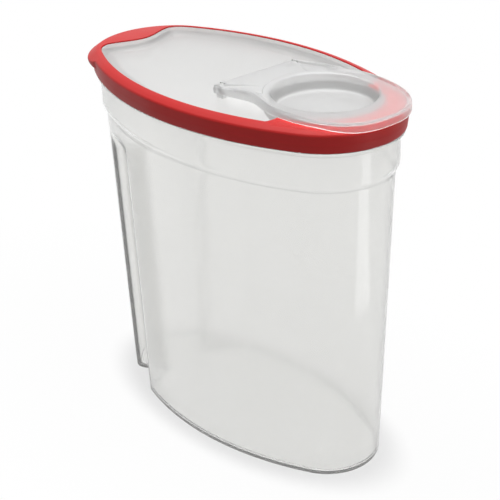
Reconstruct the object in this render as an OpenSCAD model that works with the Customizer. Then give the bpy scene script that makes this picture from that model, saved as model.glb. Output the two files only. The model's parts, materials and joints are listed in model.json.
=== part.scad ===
// Flip-top cereal keeper: a drafted translucent container with finger grips, a translucent lid
// with a red rim and pull tab, and a pour flap that plugs a round opening near the front nose
// and turns on a tongue that is pinned between two ears on the lid.
// Millimetres, +Z up, +X towards the pouring nose, origin at the middle of the base.

/* [Plan outline] */
// Length over the lid rim
rim_length = 280; // [240:1:320]
// Width over the lid rim
rim_width = 151.4; // [136:0.2:180]
// Radius of the rounded noses at both ends
nose_r = 55; // [50:0.5:60]

/* [Container] */
// Height of the rim's top edge above the table
rim_height = 269; // [230:1:310]
// Wall thickness
wall = 1.8; // [1.2:0.1:2.4]
// Thickness of the floor
floor_t = 2.2; // [1.6:0.1:4]
// How far the foot of the wall lies inside the rim outline
foot_inset = 16.3; // [12:0.1:20]
// How far the wall lies inside the rim outline just under the shoulder
shoulder_inset = 8.2; // [7:0.1:10]
// How far the collar lies inside the rim outline
collar_inset = 5.4; // [4.8:0.1:6.2]
// Distance from the rim's top edge down to the shoulder
shoulder_drop = 46; // [40:0.5:60]
// Height of the sloped step at the shoulder
shoulder_h = 7; // [4:0.5:10]
// Radius round the bottom edge
foot_r = 3; // [1.5:0.25:6]
// How far the stop flange stands out from the collar
flange_reach = 3.4; // [2:0.1:3.8]
// Thickness of the stop flange
flange_t = 2; // [1.2:0.1:3]

/* [Grip recesses] */
// Distance from the rim's rear end to the step where the recess starts
grip_from_rear = 67; // [60:0.5:76]
// Depth of the recess at its step
grip_depth = 23; // [10:0.5:27]
// Length over which the recess turns in
grip_step = 14; // [8:0.5:18]
// How strongly the recess wall leans in towards the step
grip_lean = 0.25; // [0:0.05:0.5]
// Distance from the shoulder down to the top of the recess
grip_drop = 11; // [4:0.5:20]
// Height of the sloped roof of the recess
grip_roof = 15; // [8:0.5:25]

/* [Lid rim] */
// Height of the skirt
skirt_h = 13; // [10:0.5:16]
// Thickness of the skirt
skirt_t = 2.4; // [1.6:0.1:2.8]
// Width of the band on top
band_w = 7.6; // [6.6:0.1:9]
// Rise of the band towards its inner edge
band_rise = 1.5; // [0.8:0.1:2.4]
// Thickness of the band at its inner edge
band_t = 3.5; // [2.8:0.1:4.5]
// How far the pull tab reaches past the rim
tab_reach = 3.25; // [2.5:0.25:6]
// Half width of the pull tab
tab_half_w = 54; // [44:1:56]
// Distance from the rim's rear end to the rear deck's front edge
rear_deck = 20; // [16:0.5:26]
// How far the rear deck bulges forward at its middle
rear_bulge = 7.6; // [0:0.2:10]
// Half width of that bulge
rear_bulge_half_w = 25; // [18:0.5:30]

/* [Lid panel] */
// Thickness of the panel
panel_t = 1.8; // [1.2:0.1:2.6]
// Depth of the dished panel below the rim's top edge
dish_depth = 3.5; // [2.5:0.1:5]
// Width of the dish's sloped border
dish_border = 9; // [6:0.5:14]
// Length of the plug wall that enters the container, below the dish
plug_h = 8; // [5:0.5:12]
// Gap between the plug wall and the container
plug_gap = 0.6; // [0.3:0.1:1]
// Gap left under the lid where it sits on the container's rim
seat_gap = 0.3; // [0.2:0.05:0.5]

/* [Pour opening] */
// Distance from the nose's centre back to the opening's centre
pour_setback = 1; // [0:0.5:6]
// Distance from the nose outline to the collar round the opening
pour_margin = 15.4; // [14:0.2:18]
// Wall of the collar
collar_t = 1.9; // [1.4:0.1:2.6]
// Height of the collar above the rim's top edge
collar_h = 3.2; // [2.6:0.1:3.5]
// Height of the red deck at the collar, above the rim's top edge
deck_h = 2.9; // [2.2:0.1:3.2]
// Distance from the opening's centre forward to the deck's rear edge
deck_fore = 6; // [2:0.5:10]

/* [Pour flap] */
// Wall thickness of the flap
flap_t = 1.6; // [1.2:0.1:2]
// Height of the flap's top above the rim's top edge, over the opening
flap_top = 10; // [9.2:0.1:12]
// Fall of the flap's top towards the nose, degrees
flap_tilt = 1.7; // [0:0.1:2.2]
// How far the flap's sides lie outside the collar
flap_lap = 5.8; // [4.5:0.1:6.5]
// How far the flap's nose reaches past the rim
flap_overhang = 3.5; // [2.5:0.25:8]
// Fullness of the nose: 2 is an ellipse, more is squarer
flap_fullness = 2.5; // [2.2:0.1:3.2]
// Height of the raised bead round the edge
bead_h = 1.2; // [0.8:0.1:1.8]
// Width of the raised bead
bead_w = 2.4; // [1.8:0.1:3]
// Width of the flat ring round the cup
ring_w = 4.8; // [4:0.1:5.4]
// Depth of the cup that plugs the opening
cup_depth = 9; // [8:0.25:10.5]
// Gap between the cup and the collar
cup_gap = 0.5; // [0.3:0.05:0.8]
// Height of the skirt's lower edge above the rim's top edge, beside the opening
lip_h = 3.9; // [3.7:0.1:4.6]
// Drop of the skirt's lower edge at the nose
lip_drop = 2.9; // [1:0.1:3.2]

/* [Hinge tongue] */
// Distance from the opening's centre back to the tongue's rear edge
tongue_setback = 70.3; // [66:0.1:76]
// Half width of the tongue
tongue_half_w = 38.8; // [36:0.1:41]
// Height of the tongue's rear edge above the rim's top edge
tongue_h = 5.2; // [4.8:0.1:6.2]
// Height of the tongue's lower edge above the rim's top edge, at the rear
tongue_lip_h = 2; // [1.2:0.1:2.6]
// Radius of the tongue's rear corners
tongue_r = 4.5; // [4:0.25:7]
// Distance from the opening's centre back to the top of the tongue's ramp
ramp_setback = 24; // [18:0.5:32]
// Distance from the opening's centre back to where the tongue's sides flare out
flare_setback = 32; // [26:0.5:40]

/* [Flap hinge] */
// Distance from the tongue's rear edge forward to the hinge axis
hinge_inset = 4.3; // [3.8:0.1:5.2]
// Height of the hinge axis above the rim's top edge
hinge_h = 3; // [2.6:0.1:3.4]
// Radius of the hinge pins
pin_r = 2; // [1.5:0.1:2.2]
// Radial running clearance of the pins
pin_fit = 0.05; // [0.03:0.01:0.1]
// Distance from the tongue's side in to the middle of each ear
ear_inset = 5.8; // [5.4:0.1:9]
// Thickness of each ear
ear_t = 3.5; // [2.5:0.1:4]
// Radius of each ear round the pin
ear_r = 3.8; // [3.4:0.1:4.2]
// Gap round each ear in the tongue
ear_gap = 0.5; // [0.3:0.05:0.8]
// Radius of the cheeks that carry the pins
cheek_r = 3.4; // [3:0.1:3.8]

/* [Hidden] */
$fn = 96;

half_l = rim_length / 2;
half_w = rim_width / 2;
nose_x = half_l - nose_r;
side_r = (nose_x * nose_x + half_w * half_w - nose_r * nose_r) / (2 * (half_w - nose_r));
side_c = side_r - half_w;
turn = atan2(side_c, nose_x);

// Points along each stretch of a plan outline
nose_n = 9;
side_n = 44;
wall_n = 12;
step_n = 10;
pocket_n = 8;
flap_nose_n = 24;
flap_side_n = 16;
flap_corner_n = 5;
flap_rear_n = 8;
// Rings along the sloped roof of a grip recess, and the turn between rings round the foot
roof_n = 6;
foot_turn = 22.5;

shoulder_z = rim_height - shoulder_drop;
grip_z1 = shoulder_z - grip_drop;
grip_z0 = grip_z1 - grip_roof;
grip_x = grip_from_rear - half_l;
skirt_z = rim_height - skirt_h;
band_under = rim_height + band_rise - band_t;
flange_gap = 0.6;
flange_z1 = skirt_z - flange_gap;
flange_z0 = flange_z1 - flange_t;
skirt_draft = 1.2;
over_gap = 0.1;
panel_flange_z = band_under - over_gap;
mouth_z = panel_flange_z - panel_t - seat_gap;
mouth_r = 0.5;

dish_z = rim_height - dish_depth;
lip_rise = 0.6;
plug_inset = collar_inset + wall + plug_gap;
plug_z = dish_z - panel_t - plug_h;

pour_x = nose_x - pour_setback;
collar_r = nose_r - pour_margin;
hole_r = collar_r - collar_t;
cup_r = hole_r - cup_gap - flap_t;
deck_gap = 0.3;
deck_t = 2.2;
deck_clear = 8;

tab_under_z = rim_height - 6.5;
tab_nose_z = rim_height - 2.6;
tab_blend = 0.7;
tab_fullness = 20;
edge_r = 0.6;
edge_drop = 0.5;
skirt_lean = 0.5;
band_crown = 0.7;
lip_round = 0.4;

flap_half = collar_r + flap_lap;
flap_reach = half_l + flap_overhang - pour_x;
cup_draft = 1.5;
cup_fillet = 2;
cup_z = rim_height + flap_top - cup_depth;
cup_edge = 0.8;
bead_round = 0.6;
bead_edge = 1;
bead_crown = 0.2;
bead_side = 0.3;

tongue_x = pour_x - tongue_setback;
ramp_x = pour_x - ramp_setback;
flare_x = pour_x - flare_setback;
hinge_x = tongue_x + hinge_inset;
hinge_z = rim_height + hinge_h;
ear_y = tongue_half_w - ear_inset;
ear_slot = ear_t + 2 * ear_gap;
cheek_y = ear_y + ear_slot / 2;
cheek_t = tongue_half_w - flap_t / 2 - cheek_y;

// General helpers
function mix(a, b, t) = a + (b - a) * t;
function smooth(t) = let (u = min(max(t, 0), 1)) u * u * (3 - 2 * u);
function lift(points, z) = [for (p = points) [p.x, p.y, z]];
function arc(c, r, a0, a1, n) =
    [for (i = [0 : n - 1]) let (a = mix(a0, a1, i / n)) [c.x + r * cos(a), c.y + r * sin(a)]];

// Solid skin through rings of equally many points, closed by flat caps or back onto its first ring
module loft(rings, capped = true) {
    n = len(rings[0]);
    m = len(rings);
    last = capped ? m - 2 : m - 1;
    sides = [
        for (i = [0 : last], j = [0 : n - 1])
            let (k = (j + 1) % n, low = i * n, high = ((i + 1) % m) * n)
                each [[low + j, high + k, low + k], [low + j, high + j, high + k]]
    ];
    foot = [for (j = [0 : n - 1]) j];
    head = [for (j = [n - 1 : -1 : 0]) (m - 1) * n + j];
    polyhedron([for (ring = rings) each ring], capped ? concat(sides, [foot, head]) : sides);
}

// Plan outline of the rim, moved inwards by d: two flat side arcs joined by two nose arcs
function lens(d) = concat(
    arc([nose_x, 0], nose_r - d, -turn, turn, 2 * nose_n),
    arc([0, -side_c], side_r - d, turn, 180 - turn, side_n),
    arc([-nose_x, 0], nose_r - d, 180 - turn, 180 + turn, 2 * nose_n),
    arc([0, side_c], side_r - d, 180 + turn, 360 - turn, side_n)
);

// Half width of that outline along one of its side arcs
function side_y(x, d) = sqrt(pow(side_r - d, 2) - x * x) - side_c;

// Recess wall from the rear nose (u = 0) to the foot of the step (u = 1)
function pocket_y(u, x0, x1, d) =
    let (
        y0 = (nose_r - d) * sin(turn),
        y1 = side_y(x1, d) - grip_depth,
        run = x1 - x0,
        start = run / tan(turn),
        end = -run * grip_lean
    )
    (1 + 2 * u) * pow(1 - u, 2) * y0 + u * pow(1 - u, 2) * start
        + u * u * (3 - 2 * u) * y1 + u * u * (u - 1) * end;

// Half of the container's outline, moved inwards by d, with the step moved forward by shift and
// the recess cut to a share g of its depth
function grip_half(d, shift, g) =
    let (
        x0 = -nose_x - (nose_r - d) * cos(turn),
        x1 = grip_x - grip_step / 2 + shift,
        x2 = x1 + grip_step,
        y1 = side_y(x1, d) - grip_depth
    )
    concat(
        arc([nose_x, 0], nose_r - d, 0, turn, nose_n),
        arc([0, -side_c], side_r - d, turn, acos(x2 / (side_r - d)), wall_n),
        [
            for (i = [0 : step_n - 1])
                let (s = 1 - i / step_n, x = mix(x1, x2, s), y = side_y(x, d))
                    [x, mix(y, mix(y1, y, smooth(s)), g)]
        ],
        [
            for (i = [0 : pocket_n - 1])
                let (u = 1 - i / pocket_n, x = mix(x0, x1, u))
                    [x, mix(side_y(x, d), pocket_y(u, x0, x1, d), g)]
        ],
        arc([-nose_x, 0], nose_r - d, 180 - turn, 180, nose_n)
    );

function grip_outline(d, shift, g) =
    let (half = grip_half(d, shift, g), rear = [[d - half_l, 0]])
        concat(half, rear, [for (i = [len(half) - 1 : -1 : 1]) [half[i].x, -half[i].y]]);

// Share of the recess depth at a height: full below the roof, none above it
function grip_share(z) = smooth((grip_z1 - z) / grip_roof);
// Inset of the drafted wall at a height below the shoulder
function wall_inset(z) = mix(foot_inset, shoulder_inset, z / shoulder_z);

// Rings of the outer and inner wall; the inner roof of the recess is lifted by the wall
function outer_ring(z, d) = lift(grip_outline(d, 0, grip_share(z)), z);
function inner_ring(z, d) = lift(grip_outline(d + wall, wall, grip_share(z - wall)), z);

module container() {
    roof = [for (i = [0 : roof_n]) mix(grip_z0, grip_z1, i / roof_n)];
    inner_r = foot_r + wall;
    foot_rings = [
        for (a = [90 : -foot_turn : 0])
            outer_ring(foot_r * (1 - sin(a)), wall_inset(0) + foot_r * (1 - cos(a)))
    ];
    floor_rings = [
        for (a = [0 : foot_turn : 90])
            inner_ring(floor_t + inner_r * (1 - sin(a)), wall_inset(0) + inner_r * (1 - cos(a)))
    ];
    collar_z = shoulder_z + shoulder_h;
    flange_inset = collar_inset - flange_reach;
    color([0.93, 0.93, 0.92, 0.45])
        loft(concat(
            foot_rings,
            [for (z = roof) outer_ring(z, wall_inset(z))],
            [
                outer_ring(shoulder_z, shoulder_inset),
                outer_ring(collar_z, collar_inset),
                outer_ring(flange_z0 - flange_reach / 2, collar_inset),
                outer_ring(flange_z0, flange_inset),
                outer_ring(flange_z1, flange_inset),
                outer_ring(flange_z1, collar_inset),
                outer_ring(mouth_z - mouth_r, collar_inset),
                outer_ring(mouth_z, collar_inset + mouth_r),
                inner_ring(mouth_z, collar_inset - mouth_r),
                inner_ring(mouth_z - mouth_r, collar_inset),
                inner_ring(collar_z, collar_inset),
                inner_ring(shoulder_z, shoulder_inset)
            ],
            [for (i = [roof_n : -1 : 0]) inner_ring(roof[i] + wall, wall_inset(roof[i] + wall))],
            floor_rings
        ));
}

// How far the pull tab stands out at a point of the outline
function tab(p) = p.x > 0 ? 0 : tab_reach * max(0, 1 - pow(abs(p.y) / tab_half_w, tab_fullness));
// Front edge of the rear deck
function rear_edge(y) =
    rear_deck - half_l + rear_bulge * pow(cos(min(90, 90 * abs(y) / rear_bulge_half_w)), 2);
// True on the stretch of the outline that carries the deck in front of the opening
function on_deck(p, margin = 0) = p.x > pour_x + deck_fore + margin;
// Inner edge of the red surface: the band, widened to the rear deck and to the pour opening
function red_edge(d, r) = [
    for (p = lens(d))
        let (a = atan2(p.y, p.x - pour_x))
            on_deck(p) ? [pour_x + r * cos(a), r * sin(a)] : [max(p.x, rear_edge(p.y)), p.y]
];
// Height of the red surface at its inner edge, and of its underside there
function red_z(p) = rim_height + (on_deck(p) ? deck_h : band_rise);
function red_under(p) = on_deck(p) ? rim_height + deck_h - deck_t : band_under;
function at_red(points, outline, drop) =
    [for (i = [0 : len(points) - 1]) [each points[i], red_z(outline[i]) - drop]];

module lid_rim() {
    outline = lens(0);
    deck_r = collar_r + deck_gap;
    edge = red_edge(band_w, deck_r);
    function skirt_ring(d, z) = lift(lens(d), z);
    function tab_ring(d, z) = [
        for (p = lens(d))
            let (out = p.x < -nose_x ? tab(p) / (nose_r - d) : 0)
                [p.x + out * (p.x + nose_x), p.y + out * p.y, z]
    ];
    color([0.87, 0.32, 0.31])
        loft([
            skirt_ring(skirt_draft, skirt_z),
            skirt_ring(skirt_lean, tab_under_z - tab_blend),
            tab_ring(skirt_lean, tab_under_z),
            tab_ring(0, tab_nose_z),
            tab_ring(edge_r + edge_drop, rim_height - edge_drop / 2),
            skirt_ring(band_w / 2, rim_height + band_crown * band_rise),
            at_red(red_edge(band_w - edge_r, deck_r + edge_r), outline, 0),
            at_red(edge, outline, edge_drop),
            [for (i = [0 : len(edge) - 1]) [each edge[i], red_under(outline[i])]],
            skirt_ring(skirt_t, band_under),
            skirt_ring(skirt_t + lip_round, skirt_z + lip_round),
            skirt_ring(skirt_t, skirt_z)
        ], capped = false);
}

// Dished panel with its seat flange and the plug wall that enters the container
module panel_shell() {
    lip = lens(band_w + over_gap);
    foot = lens(band_w + over_gap + dish_border);
    flange_inset = skirt_t + flange_gap;
    function clear_rear(points, gap) = [for (p = points) [max(p.x, rear_edge(p.y) + gap), p.y]];
    function lip_top(p) =
        on_deck(p, -deck_clear) ? panel_flange_z - over_gap : rim_height + lip_rise;
    lip_plan = clear_rear(lip, over_gap);
    foot_plan = clear_rear(foot, dish_border);
    loft([
        lift(foot_plan, dish_z - panel_t),
        lift(lens(plug_inset + panel_t), dish_z - panel_t),
        lift(lens(plug_inset + panel_t), plug_z),
        lift(lens(plug_inset), plug_z),
        lift(lens(plug_inset), panel_flange_z - panel_t),
        lift(lens(flange_inset), panel_flange_z - panel_t),
        lift(lens(flange_inset), panel_flange_z),
        lift(lip_plan, panel_flange_z),
        [for (i = [0 : len(lip) - 1]) [each lip_plan[i], lip_top(lip[i])]],
        lift(foot_plan, dish_z)
    ]);
}

// Upright ear that carries a hinge pin, on the side given by s
module ear(s) {
    foot_z = dish_z - panel_t / 2;
    translate([0, s * ear_y + ear_t / 2, 0])
        rotate([90, 0, 0])
            linear_extrude(ear_t) {
                translate([hinge_x, hinge_z])
                    circle(ear_r);
                translate([hinge_x - ear_r, foot_z])
                    square([2 * ear_r, hinge_z - foot_z]);
            }
}

module lid_panel() {
    foot_z = dish_z - panel_t;
    color([0.92, 0.93, 0.92, 0.5])
        difference() {
            union() {
                panel_shell();
                translate([pour_x, 0, foot_z])
                    cylinder(r = collar_r, h = rim_height + collar_h - foot_z);
                for (s = [-1, 1])
                    ear(s);
            }
            translate([pour_x, 0, plug_z])
                cylinder(r = hole_r, h = rim_height + flap_top - plug_z);
            for (s = [-1, 1])
                translate([hinge_x, s * ear_y, hinge_z])
                    rotate([90, 0, 0])
                        cylinder(r = pin_r + pin_fit, h = 2 * ear_t, center = true);
        }
}

// Half width of the flap behind the opening's centre: the tongue, flared out to the round part
function flap_w(x) = mix(tongue_half_w, flap_half, smooth((x - flare_x) / flare_setback));
// Share of the ramp climbed at x, from the tongue's rear edge to the ring round the cup
function ramp(x) = smooth((x - tongue_x) / (ramp_x - tongue_x));

// Half of the flap's plan outline, moved inwards by d, from its nose round to its rear edge
function flap_side(d) =
    let (e = 2 / flap_fullness, corner_x = tongue_x + tongue_r, corner_y = tongue_half_w - tongue_r)
    concat(
        [
            for (i = [0 : flap_nose_n - 1])
                let (a = 90 * i / flap_nose_n)
                    [pour_x + (flap_reach - d) * pow(cos(a), e), (flap_half - d) * pow(sin(a), e)]
        ],
        [
            for (i = [0 : flap_side_n - 1])
                let (x = mix(pour_x, corner_x, i / flap_side_n))
                    [x, flap_w(x) - d]
        ],
        arc([corner_x, corner_y], tongue_r - d, 90, 180, flap_corner_n),
        [for (i = [0 : flap_rear_n - 1]) [tongue_x + d, corner_y * (1 - i / flap_rear_n)]]
    );
function flap_plan(d) =
    let (half = flap_side(d), rear = [[tongue_x + d, 0]])
        concat(half, rear, [for (i = [len(half) - 1 : -1 : 1]) [half[i].x, -half[i].y]]);
// Circle round the opening's centre, with a point in the direction of each point of the outline
function cup_plan(r) = [
    for (p = flap_plan(0)) let (a = atan2(p.y, p.x - pour_x)) [pour_x + r * cos(a), r * sin(a)]
];

// Heights along the flap: the flat top over the opening, its edge, and the skirt's lower edge
function top_z(x) = rim_height + flap_top - (x - pour_x) * tan(flap_tilt);
function edge_z(x) = mix(rim_height + tongue_h, top_z(x), ramp(x));
function lip_z(x) =
    rim_height + mix(tongue_lip_h, lip_h, ramp(x)) - lip_drop * smooth(2 * (x - pour_x) / flap_reach - 1);
// Height of the bead, which fades out on the tongue
function bead(x) = bead_h * smooth((x - ramp_x) / ramp_setback);
function on_top(points, drop) = [for (p = points) [p.x, p.y, top_z(p.x) - drop]];
function on_edge(points, drop) = [for (p = points) [p.x, p.y, edge_z(p.x) - drop]];
function under_bead(points, drop) = [for (p = points) [p.x, p.y, edge_z(p.x) - bead(p.x) - drop]];
function on_lip(points) = [for (p = points) [p.x, p.y, lip_z(p.x)]];

// Cup, ring, plate, tongue and skirt of the flap as one shell
module flap_shell() {
    under = bead_h + flap_t;
    cup_out = cup_r + flap_t;
    loft([
        lift(cup_plan(cup_out - cup_draft - cup_fillet), cup_z - flap_t),
        lift(cup_plan(cup_out - cup_draft), cup_z - flap_t + cup_fillet),
        on_top(cup_plan(cup_out), under),
        on_top(cup_plan(cup_r + ring_w), under),
        under_bead(flap_plan(flap_t + bead_side), flap_t),
        on_lip(flap_plan(flap_t)),
        on_lip(flap_plan(0)),
        on_edge(flap_plan(bead_side), bead_edge),
        on_edge(flap_plan(bead_edge), 0),
        on_edge(flap_plan(bead_w - bead_round), bead_crown),
        under_bead(flap_plan(bead_w + bead_round), 0),
        on_top(cup_plan(cup_r + ring_w), bead_h),
        on_top(cup_plan(cup_r + cup_edge), bead_h),
        on_top(cup_plan(cup_r), bead_h + cup_edge),
        lift(cup_plan(cup_r - cup_draft), cup_z + cup_fillet),
        lift(cup_plan(cup_r - cup_draft - cup_fillet), cup_z)
    ]);
}

// Cheek inside the tongue's side, on the side given by s
module cheek(s) {
    top = rim_height + tongue_h - flap_t / 2;
    translate([0, s * (cheek_y + cheek_t / 2) + cheek_t / 2, 0])
        rotate([90, 0, 0])
            linear_extrude(cheek_t)
                intersection() {
                    translate([hinge_x, hinge_z])
                        circle(cheek_r);
                    translate([hinge_x - cheek_r, top - 2 * cheek_r])
                        square(2 * cheek_r);
                }
}

module pour_flap() {
    slot_x = tongue_x - ear_gap;
    color([0.94, 0.94, 0.94, 0.5])
        union() {
            difference() {
                flap_shell();
                for (s = [-1, 1])
                    translate([slot_x, s * ear_y - ear_slot / 2, rim_height])
                        cube([hinge_x + ear_r + ear_gap - slot_x, ear_slot, flap_top]);
            }
            for (s = [-1, 1]) {
                cheek(s);
                translate([hinge_x, s * (ear_y - ear_t / 2), hinge_z])
                    rotate([-90 * s, 0, 0])
                        cylinder(r = pin_r, h = ear_t + ear_gap + cheek_t / 2);
            }
        }
}

container();
lid_rim();
lid_panel();
pour_flap();
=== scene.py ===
"""Looks of a flip-top cereal keeper: a translucent container with finger recesses, a lid with a red rim
and a dished translucent panel, and a translucent pour flap. Metres, +Z up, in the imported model's frame."""

import json
import math

import bmesh
import bpy
import numpy as np
from bpy.props import FloatProperty, FloatVectorProperty, PointerProperty
from mathutils import Matrix, Quaternion, Vector


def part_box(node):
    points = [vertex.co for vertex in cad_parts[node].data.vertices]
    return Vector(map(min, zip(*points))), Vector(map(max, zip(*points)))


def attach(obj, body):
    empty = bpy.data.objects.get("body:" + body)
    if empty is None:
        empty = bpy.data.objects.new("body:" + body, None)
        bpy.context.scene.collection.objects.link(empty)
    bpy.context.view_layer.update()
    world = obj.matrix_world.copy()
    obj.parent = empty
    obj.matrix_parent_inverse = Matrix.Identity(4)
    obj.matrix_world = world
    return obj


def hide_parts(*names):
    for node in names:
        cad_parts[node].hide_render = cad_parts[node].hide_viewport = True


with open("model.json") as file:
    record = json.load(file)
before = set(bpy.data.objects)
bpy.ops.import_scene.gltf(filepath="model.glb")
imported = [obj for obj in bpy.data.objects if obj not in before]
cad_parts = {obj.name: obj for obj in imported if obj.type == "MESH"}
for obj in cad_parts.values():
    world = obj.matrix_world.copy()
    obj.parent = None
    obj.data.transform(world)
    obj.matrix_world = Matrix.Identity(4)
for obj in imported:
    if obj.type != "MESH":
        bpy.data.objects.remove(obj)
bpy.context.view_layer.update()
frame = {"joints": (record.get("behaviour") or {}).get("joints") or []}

bl_info = {
    "name": "Flip-top cereal keeper",
    "version": (1, 0, 0),
    "blender": (4, 5, 0),
    "location": "3D View > Sidebar > Keeper",
    "description": "Builds the visible pieces of a translucent cereal keeper with a red-rimmed lid",
    "category": "Object",
}

RIM_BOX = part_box("lid_rim")
CONTAINER_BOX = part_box("container")
HINGE = next(j["pos_m"] for j in frame["joints"] if j["name"] == "flap_hinge")


def length(label, description, default):
    """A size property in metres."""
    return FloatProperty(name=label, description=description, default=default, unit="LENGTH", precision=4)


def colour(label, description, default):
    """A linear RGB colour property."""
    return FloatVectorProperty(
        name=label, description=description, default=default, subtype="COLOR", min=0.0, max=1.0
    )


def factor(label, description, default):
    """A plain number property."""
    return FloatProperty(name=label, description=description, default=default, min=0.0)


class KeeperSizes(bpy.types.PropertyGroup):
    """Sizes of the keeper's pieces."""

    rim_length: length("Rim length", "Length over the lid rim, without the pull tab", 2 * RIM_BOX[1].x)
    rim_width: length("Rim width", "Width over the lid rim", 2 * RIM_BOX[1].y)
    nose_radius: length("Nose radius", "Radius of the rounded noses at both ends", 0.055)
    rim_z: length("Rim height", "Height of the rim's top edge", 0.269)

    wall: length("Wall", "Wall thickness of the container", 0.0018)
    floor: length("Floor", "Floor thickness of the container", 0.0022)
    foot_inset: length("Foot inset", "Inset of the wall's foot from the rim outline", 0.0163)
    foot_radius: length("Foot radius", "Radius round the bottom edge", 0.003)
    shoulder_inset: length("Shoulder inset", "Inset of the wall under the shoulder", 0.0082)
    shoulder_z: length("Shoulder height", "Height of the shoulder's foot", 0.226)
    shoulder_rise: length("Shoulder rise", "Height of the sloped step at the shoulder", 0.004)
    collar_inset: length("Collar inset", "Inset of the collar from the rim outline", 0.0054)
    flange_z: length("Flange height", "Height of the stop flange's underside", 0.2534)
    flange_reach: length("Flange reach", "How far the stop flange stands out", 0.0034)
    flange_thick: length("Flange thickness", "Thickness of the stop flange", 0.002)
    mouth_z: length("Mouth height", "Height of the container's open edge", CONTAINER_BOX[1].z)

    recess_depth: length("Recess depth", "Depth of the finger recess at its step", 0.023)
    recess_tail: length("Recess tail", "Where the recess leaves the rear nose, along X", -0.1045)
    recess_foot: length("Recess step foot", "Where the recess is deepest, along X", -0.080)
    recess_end: length("Recess step end", "Where the step meets the side wall, along X", -0.066)
    recess_roof: length("Recess roof foot", "Height where the recess starts to run out", 0.197)
    recess_top: length("Recess top", "Height where the recess ends", 0.212)

    skirt_z: length("Skirt height", "Height of the rim skirt's lower edge", 0.256)
    skirt_thick: length("Skirt thickness", "Thickness of the rim's skirt", 0.0024)
    skirt_draft: length("Skirt draft", "How far the skirt's lower edge lies inside the outline", 0.0012)
    band_width: length("Band width", "Width of the red band on top", 0.0076)
    band_rise: length("Band rise", "Rise of the band to its inner edge", 0.0027)
    band_thick: length("Band thickness", "Thickness of the band at its inner edge", 0.0047)
    tab_reach: length("Tab reach", "How far the pull tab reaches past the rim", -RIM_BOX[0].x - RIM_BOX[1].x)
    tab_half: length("Tab half width", "Half width of the pull tab", 0.054)
    rear_deck: length("Rear deck", "Length of the red deck at the rear", 0.0208)
    rear_bulge: length("Rear bulge", "How far the rear deck bulges forward at its middle", 0.0086)
    bulge_half: length("Bulge half width", "Half width of that bulge", 0.032)

    panel_thick: length("Panel thickness", "Thickness of the lid panel", 0.0018)
    dish_depth: length("Dish depth", "Depth of the panel below the rim's top edge", 0.0035)
    dish_border: length("Dish border", "Width of the dish's sloped border", 0.009)
    lip_rise: length("Lip rise", "Height of the panel's outer lip above the rim's top edge", 0.0019)
    plug_z: length("Plug height", "Height of the plug wall's lower edge", 0.2557)
    plug_inset: length("Plug inset", "Inset of the plug wall from the rim outline", 0.0078)

    pour_x: length("Pour place", "Centre of the pour opening along X", 0.084)
    collar_radius: length("Collar radius", "Outer radius of the collar round the opening", 0.0396)
    collar_wall: length("Collar wall", "Wall thickness of that collar", 0.0019)
    collar_rise: length("Collar rise", "Height of the collar above the rim's top edge", 0.0032)
    deck_rise: length("Deck rise", "Height of the red deck at the collar", 0.0029)
    deck_thick: length("Deck thickness", "Thickness of the red deck at the collar", 0.0022)
    deck_start: length("Deck start", "Where the front deck starts, ahead of the opening's centre", 0.002)

    flap_thick: length("Flap thickness", "Wall thickness of the flap", 0.0016)
    flap_rise: length("Flap rise", "Height of the flap's top above the rim's top edge", 0.010)
    flap_half: length("Flap half width", "Half width of the flap over the opening", 0.0454)
    flap_reach: length("Flap reach", "Reach of the flap's nose from the opening's centre", 0.0595)
    bead_rise: length("Bead rise", "Height of the raised bead round the flap", 0.0012)
    bead_width: length("Bead width", "Width of that bead", 0.0024)
    ring_width: length("Ring width", "Width of the flat ring round the cup", 0.0048)
    cup_radius: length("Cup radius", "Inner radius of the cup at its top", 0.0356)
    cup_z: length("Cup height", "Height of the cup's floor", 0.2677)
    cup_draft: length("Cup draft", "How far the cup's wall slopes in down to its floor", 0.0034)
    cup_fillet: length("Cup fillet", "Width of the round turn from the cup's wall to its floor", 0.002)
    lip_h: length("Flap lip", "Height of the flap's lower edge above the rim's top edge", 0.0039)
    lip_drop: length("Flap lip drop", "Drop of that edge at the nose", 0.0029)

    tongue_x: length("Tongue rear", "Rear edge of the hinge tongue along X", 0.0137)
    tongue_half: length("Tongue half width", "Half width of the hinge tongue", 0.0388)
    tongue_rise: length("Tongue rise", "Height of the tongue's rear edge", 0.0062)
    tongue_lip: length("Tongue lip", "Height of the tongue's lower edge at the rear", 0.0006)
    tongue_corner: length("Tongue corner", "Radius of the tongue's rear corners", 0.0045)
    wing_drop: length("Wing drop", "How far the tongue's wings lie below its middle", 0.0014)
    ramp_x: length("Ramp top", "Where the tongue's ramp reaches the ring, along X", 0.060)
    flare_x: length("Flare start", "Where the tongue's sides flare out, along X", 0.052)

    pin_radius: length("Pin radius", "Radius of the hinge pins", 0.002)
    pin_fit: length("Pin fit", "Radial clearance of the hinge pins", 0.00005)
    ear_y: length("Ear place", "Middle of each ear along Y", 0.033)
    ear_thick: length("Ear thickness", "Thickness of each ear", 0.0035)
    ear_radius: length("Ear radius", "Radius of each ear round its pin", 0.0031)
    ear_gap: length("Ear gap", "Gap round each ear in the tongue", 0.0004)
    cheek_radius: length("Cheek radius", "Radius of the cheeks that carry the pins", 0.0026)


class KeeperFinish(bpy.types.PropertyGroup):
    """Colours and finishes of the keeper's plastics."""

    body_tint: colour("Body tint", "Colour of the container's plastic", (0.92, 0.92, 0.91))
    panel_tint: colour("Panel tint", "Colour of the lid panel's plastic", (0.68, 0.68, 0.675))
    flap_tint: colour("Flap tint", "Colour of the flap's plastic", (0.76, 0.76, 0.76))
    rim_red: colour("Rim red", "Colour of the lid rim", (0.56, 0.024, 0.023))


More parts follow.
